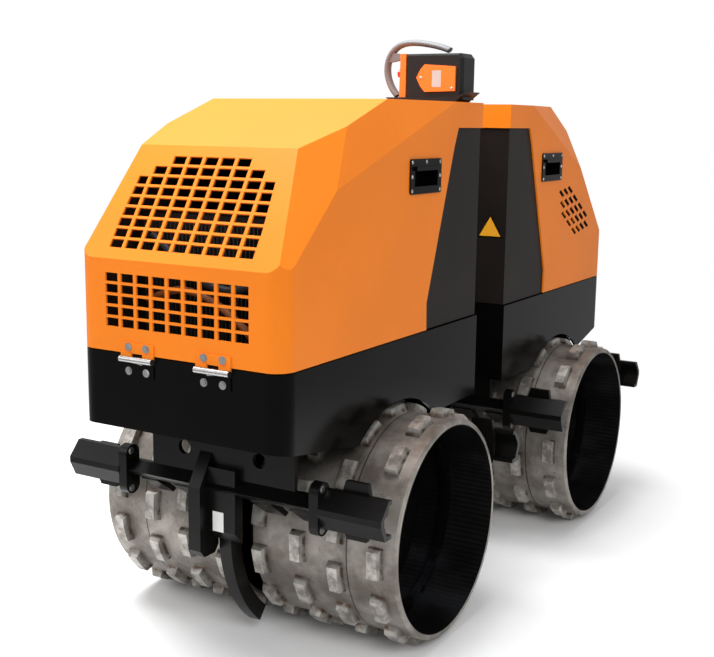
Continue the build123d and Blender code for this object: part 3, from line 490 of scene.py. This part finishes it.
for half, sign in (("front", -1), ("rear", 1)):
    toward = (0, -sign, 0)
    upper = [(x, sign * WELL_OUTSIDE, HOOD_BOLT_Z) for x in HINGE_BOLT_X]
    lower = [(x, sign * WELL_OUTSIDE, TUB_BOLT_Z) for x in HINGE_BOLT_X]
    run_tree(hex_heads, f"{half}_hood_bolts", f"{half}_hood",
             seats([f"{half}_hood", f"{half}_hinge_upper"], upper, toward),
             turn_seed=3, finish=zinc, **HINGE_BOLT)
    run_tree(hex_heads, f"{half}_tub_bolts", f"{half}_frame",
             seats([f"{half}_chassis", f"{half}_hinge_lower"], lower, toward),
             turn_seed=5, finish=zinc, **HINGE_BOLT)
    run_tree(hex_heads, f"{half}_scraper_bolts", f"{half}_frame", flange_bolts(half),
             turn_seed=9, finish=zinc, **FLANGE_BOLT)

# %% [markdown]
# ## Ring bolts and handle rivets
#
# The outer ring of each drum is bolted on from inside, so a circle of dark heads shows on the flange
# when you look into the open end. The handle plates on the hood sides are riveted at their corners and
# edges.

# %% Place ring bolts and rivets
RING_BOLT = dict(head_radius=0.008, head_height=0.0034, washer_radius=0.011)
RIVET = dict(head_radius=0.0042, head_height=0.0006, washer_radius=0.005)
RING_BOLTS = 14
RING_BOLT_CIRCLE = 0.241
RIVET_INSET = 0.008


def ring_bolts(half, hand, side):
    starts = []
    for k in range(RING_BOLTS):
        turn = 2 * pi * (k + 0.5) / RING_BOLTS
        starts.append((side * 0.42, AXLE[half] + RING_BOLT_CIRCLE * cos(turn),
                       AXLE_Z + RING_BOLT_CIRCLE * sin(turn)))
    return seats([f"{half}_ring_{hand}", f"{half}_drum_{hand}"], starts, (-side, 0, 0))


def handle_rivets(half, side):
    """Three rivets along the top of the plate, one at each lower corner and one at the middle of each end."""
    low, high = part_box(f"{half}_handles")
    y0, y1 = low.y + RIVET_INSET, high.y - RIVET_INSET
    z0, z1 = low.z + RIVET_INSET, high.z - RIVET_INSET
    spots = [(y0, z1), ((y0 + y1) / 2, z1), (y1, z1), (y0, z0), (y1, z0),
             (y0, (z0 + z1) / 2), (y1, (z0 + z1) / 2)]
    return seats([f"{half}_handles"], [(side * 0.4, y, z) for y, z in spots], (-side, 0, 0))


for half in AXLE:
    for hand, side in (("left", -1), ("right", 1)):
        run_tree(hex_heads, f"{half}_{hand}_ring_bolts", f"{half}_drums", ring_bolts(half, hand, side),
                 turn_seed=11, finish=black_iron, **RING_BOLT)
        run_tree(dome_heads, f"{half}_{hand}_rivets", f"{half}_hood", handle_rivets(half, side),
                 turn_seed=1, finish=zinc, **RIVET)

# %% [markdown]
# ## Cooling fins behind the grille
#
# Through the square holes of the grille one looks onto a cooler. Its fins are a row of equal strips, so
# a second tree takes a count, a pitch and a strip size, and stacks boxes along a line.


# %% Build and place the fins
def fin_tree():
    tree = bpy.data.node_groups.new("fin row", "GeometryNodeTree")
    sockets = tree.interface
    sockets.new_socket("Count", in_out="INPUT", socket_type="NodeSocketInt")
    sockets.new_socket("Pitch", in_out="INPUT", socket_type="NodeSocketVector")
    sockets.new_socket("First", in_out="INPUT", socket_type="NodeSocketVector")
    sockets.new_socket("Size", in_out="INPUT", socket_type="NodeSocketVector")
    sockets.new_socket("Finish", in_out="INPUT", socket_type="NodeSocketMaterial")
    sockets.new_socket("Geometry", in_out="OUTPUT", socket_type="NodeSocketGeometry")
    new, join = tree.nodes.new, tree.links.new
    given, out = new("NodeGroupInput"), new("NodeGroupOutput")
    row = new("GeometryNodeMeshLine")
    join(given.outputs["Count"], row.inputs["Count"])
    join(given.outputs["First"], row.inputs["Start Location"])
    join(given.outputs["Pitch"], row.inputs["Offset"])
    strip = new("GeometryNodeMeshCube")
    join(given.outputs["Size"], strip.inputs["Size"])
    copies = new("GeometryNodeInstanceOnPoints")
    join(row.outputs[0], copies.inputs["Points"])
    join(strip.outputs[0], copies.inputs["Instance"])
    real = new("GeometryNodeRealizeInstances")
    join(copies.outputs[0], real.inputs[0])
    metal = new("GeometryNodeSetMaterial")
    join(real.outputs[0], metal.inputs["Geometry"])
    join(given.outputs["Finish"], metal.inputs["Material"])
    join(metal.outputs[0], out.inputs[0])
    return tree


FIN_PITCH = 0.011
FIN_THICKNESS = 0.0022
FIN_DEPTH = 0.007
cool_low, cool_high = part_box("cooler")
count = int((cool_high.x - cool_low.x - 0.03) / FIN_PITCH)
start_x = (cool_low.x + cool_high.x) / 2 - FIN_PITCH * (count - 1) / 2
run_tree(fin_tree(), "cooler_fins", "front_frame", [((0, 0, 0), (0, 0, 1))], count=count,
         pitch=(FIN_PITCH, 0, 0), first=(start_x, cool_low.y - FIN_DEPTH / 2, (cool_low.z + cool_high.z) / 2),
         size=(FIN_THICKNESS, FIN_DEPTH, cool_high.z - cool_low.z - 0.04), finish=fins)

# %% [markdown]
# ## Pipes in front of the cooler
#
# A hose and two brown pipes cross the dark space behind the grille. Each one is a smooth curve with a
# round thickness, turned into a closed mesh.


# %% Sweep the pipes
def pipe(name, body, points, radius, material):
    curve = bpy.data.curves.new(name, "CURVE")
    curve.dimensions = "3D"
    curve.bevel_depth = radius
    curve.bevel_resolution = 2
    curve.use_fill_caps = True
    curve.resolution_u = 8
    line = curve.splines.new("BEZIER")
    line.bezier_points.add(len(points) - 1)
    for point, place in zip(line.bezier_points, points):
        point.co = place
        point.handle_left_type = point.handle_right_type = "AUTO"
    curve.materials.append(material)
    piece = plain_copy(link(bpy.data.objects.new(name + "_curve", curve)), name)
    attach(piece, body)
    print(name, len(piece.data.polygons), "faces")
    return piece


HOSE_RADIUS, PIPE_RADIUS = 0.011, 0.009
left, right, base, head = cool_low.x, cool_high.x, cool_low.z, cool_high.z
front_of = cool_low.y - 0.022
hose_end = cool_low.y - 0.01
pipe_end = cool_low.y - 0.008
pipe("hose_across", "front_frame",
     [(left + 0.05, hose_end, head - 0.05), (left + 0.12, front_of, head - 0.09),
      (0.05, front_of, head - 0.16), (right - 0.06, hose_end, head - 0.13)], HOSE_RADIUS, rubber)
pipe("brown_pipe_top", "front_frame",
     [(left + 0.03, pipe_end, head - 0.2), (-0.05, front_of, head - 0.17),
      (0.1, front_of, head - 0.24), (0.14, pipe_end, head - 0.3)], PIPE_RADIUS, copper_brown)
pipe("brown_pipe_low", "front_frame",
     [(left + 0.06, pipe_end, base + 0.04), (-0.08, front_of, base + 0.09),
      (0.08, front_of, base + 0.07), (right - 0.05, pipe_end, base + 0.1)], PIPE_RADIUS, copper_brown)

# %% [markdown]
# ## Blank plates
#
# The white label beside the middle bracket, the triangular sign in the gap and the strip on the remote
# are plain plates. Each one is laid on the face behind it and stands proud of it by a millimetre at
# most.


# %% Make the blank plates
PLATE_SINK = 0.0002
PLATE_DEPTH = 0.0008
SIGN_DEPTH = 0.0012
STRIP_DEPTH = 0.0006


def plate(name, body, outline, nodes, depth, material):
    """A thin plate on the first face met when looking along +Y; the outline is a list of points before it."""
    direction = Vector((0, 1, 0))
    middle = sum((Vector(p) for p in outline), Vector()) / len(outline)
    face = touch(nodes, middle, direction)
    if face is None:
        print(name, "met no face")
        return None
    reach = (face[0] - middle).dot(direction)
    back = [Vector(p) + direction * (reach + PLATE_SINK) for p in outline]
    front = [p - direction * depth for p in back]
    n = len(outline)
    faces = [tuple(range(n)), tuple(reversed(range(n, 2 * n)))]
    faces += [(i, i + n, (i + 1) % n + n, (i + 1) % n) for i in range(n)]
    mesh = bpy.data.meshes.new(name)
    mesh.from_pydata([tuple(p) for p in back + front], [], faces)
    mesh.materials.append(material)
    piece = link(bpy.data.objects.new(name, mesh))
    if mesh.polygons[0].normal.dot(direction) < 0:
        mesh.flip_normals()
    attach(piece, body)
    print(name, "on the face at", [round(c, 4) for c in face[0]])
    return piece


def rectangle(x0, x1, y, z0, z1):
    return [(x0, y, z0), (x1, y, z0), (x1, y, z1), (x0, y, z1)]


def triangle(x0, x1, y, z0, z1):
    return [(x0, y, z0), (x1, y, z0), ((x0 + x1) / 2, y, z1)]


plate("bracket_label", "front_frame", rectangle(-0.012, 0.019, -1.2, 0.309, 0.357),
      ["front_scraper_outer", "front_guards", "front_chassis"], PLATE_DEPTH, white_label)
gap_walls = ["rear_cowl", "rear_hood"]
plate("gap_sign_edge", "rear_hood", triangle(0.190, 0.266, 0.05, 0.934, 0.998), gap_walls, PLATE_DEPTH,
      black)
plate("gap_sign", "rear_hood", triangle(0.195, 0.261, 0.05, 0.937, 0.992), gap_walls, SIGN_DEPTH,
      sign_yellow)
plate("remote_label", "front_hood", rectangle(0.186, 0.212, -0.3, 1.346, 1.388), ["remote_cover"],
      STRIP_DEPTH, label_grey)
screws = seats(["remote_cover", "remote_box"], [(0.153, -0.3, 1.37), (0.243, -0.3, 1.343)], (0, 1, 0))
run_tree(dome_heads, "remote_screws", "front_hood", screws, head_radius=0.0035, head_height=0.0005,
         washer_radius=0.004, turn_seed=2, finish=zinc)

# %% [markdown]
# ## Floor, light and white surroundings
#
# The machine stands on a pale floor that keeps a soft contact shadow close by and fades to plain white
# further out, so no horizon shows. The far floor and the world are white to the camera and a mid grey
# to everything else, which keeps the black paint black.
# Three large soft lamps light the machine from the front right, the front left and above.

# %% Floor and lights
WHITE = (1.0, 1.0, 1.0)


def white_to_camera(tree, otherwise):
    """White where the camera looks, another colour for reflections and bounced light."""
    seen = tree.nodes.new("ShaderNodeLightPath")
    return blend_colours(tree, seen.outputs["Is Camera Ray"], otherwise, WHITE)


def floor_material():
    material = bpy.data.materials.new("pale floor")
    material.use_nodes = True
    tree = material.node_tree
    tree.nodes.clear()
    output = tree.nodes.new("ShaderNodeOutputMaterial")
    soft = tree.nodes.new("ShaderNodeBsdfDiffuse")
    soft.inputs["Color"].default_value = (0.93, 0.93, 0.93, 1)
    glow = tree.nodes.new("ShaderNodeEmission")
    tree.links.new(white_to_camera(tree, (0.5, 0.5, 0.5)), glow.inputs["Color"])
    away = tree.nodes.new("ShaderNodeVectorMath")
    away.operation = "LENGTH"
    tree.links.new(place_of(tree), away.inputs[0])
    mixed = tree.nodes.new("ShaderNodeMixShader")
    tree.links.new(step(tree, away.outputs["Value"], 1.2, 2.6), mixed.inputs[0])
    tree.links.new(soft.outputs[0], mixed.inputs[1])
    tree.links.new(glow.outputs[0], mixed.inputs[2])
    tree.links.new(mixed.outputs[0], output.inputs[0])
    return material


def white_room():
    world = bpy.data.worlds.new("white room")
    world.use_nodes = True
    tree = world.node_tree
    tree.nodes.clear()
    output = tree.nodes.new("ShaderNodeOutputWorld")
    surround = tree.nodes.new("ShaderNodeBackground")
    tree.links.new(white_to_camera(tree, (0.5, 0.5, 0.51)), surround.inputs["Color"])
    tree.links.new(surround.outputs[0], output.inputs[0])
    return world


FLOOR_HALF = 40
floor_mesh = bpy.data.meshes.new("floor")
floor_corners = [(-FLOOR_HALF, -FLOOR_HALF, 0), (FLOOR_HALF, -FLOOR_HALF, 0), (FLOOR_HALF, FLOOR_HALF, 0),
                 (-FLOOR_HALF, FLOOR_HALF, 0)]
floor_mesh.from_pydata(floor_corners, [], [(0, 1, 2, 3)])
floor = link(bpy.data.objects.new("floor", floor_mesh))
floor.data.materials.append(floor_material())


def lamp(name, place, target, size, watts):
    data = bpy.data.lights.new(name, "AREA")
    data.shape = "DISK"
    data.size = size
    data.energy = watts
    obj = link(bpy.data.objects.new(name, data))
    obj.location = place
    obj.rotation_euler = (Vector(target) - Vector(place)).to_track_quat("-Z", "Y").to_euler()
    return obj


lamp("key", (3.2, -3.6, 3.4), (0, -0.3, 0.7), 2.4, 105)
lamp("fill", (-3.6, -3.4, 2.4), (0, -0.3, 0.6), 3.0, 50)
lamp("top", (-0.9, -0.7, 4.4), (0, -0.1, 0.6), 3.4, 330)

scene.world = white_room()
scene.view_settings.view_transform = "Standard"
print("floor, three lamps and a white world")

# %% [markdown]
# ## The camera of the photograph
#
# A camera was fitted to the photograph from known points of the machine. It stands before the
# right-hand front corner at chest height and looks slightly down. Its turn is built from three angles,
# so each can be changed alone.


# %% Camera
def camera_turn(yaw, pitch, roll):
    forward = Vector((-sin(yaw) * cos(pitch), cos(yaw) * cos(pitch), sin(pitch)))
    right = forward.cross(Vector((0, 0, 1))).normalized()
    up = right.cross(forward)
    turned_right = right * cos(roll) + up * sin(roll)
    turned_up = up * cos(roll) - right * sin(roll)
    return Matrix((turned_right, turned_up, -forward)).transposed()


EYE = (1.5688, -2.8732, 1.2537)
YAW, PITCH, ROLL = 0.5324, -0.1783, 0.01368
lens = bpy.data.cameras.new("camera")
lens.sensor_width = 36.0
lens.lens = 57.73
lens.clip_start = 0.05
lens.clip_end = 200.0
camera = link(bpy.data.objects.new("camera", lens))
camera.matrix_world = Matrix.Translation(EYE) @ camera_turn(YAW, PITCH, ROLL).to_4x4()
scene.camera = camera
print("camera at", [round(v, 3) for v in camera.location])
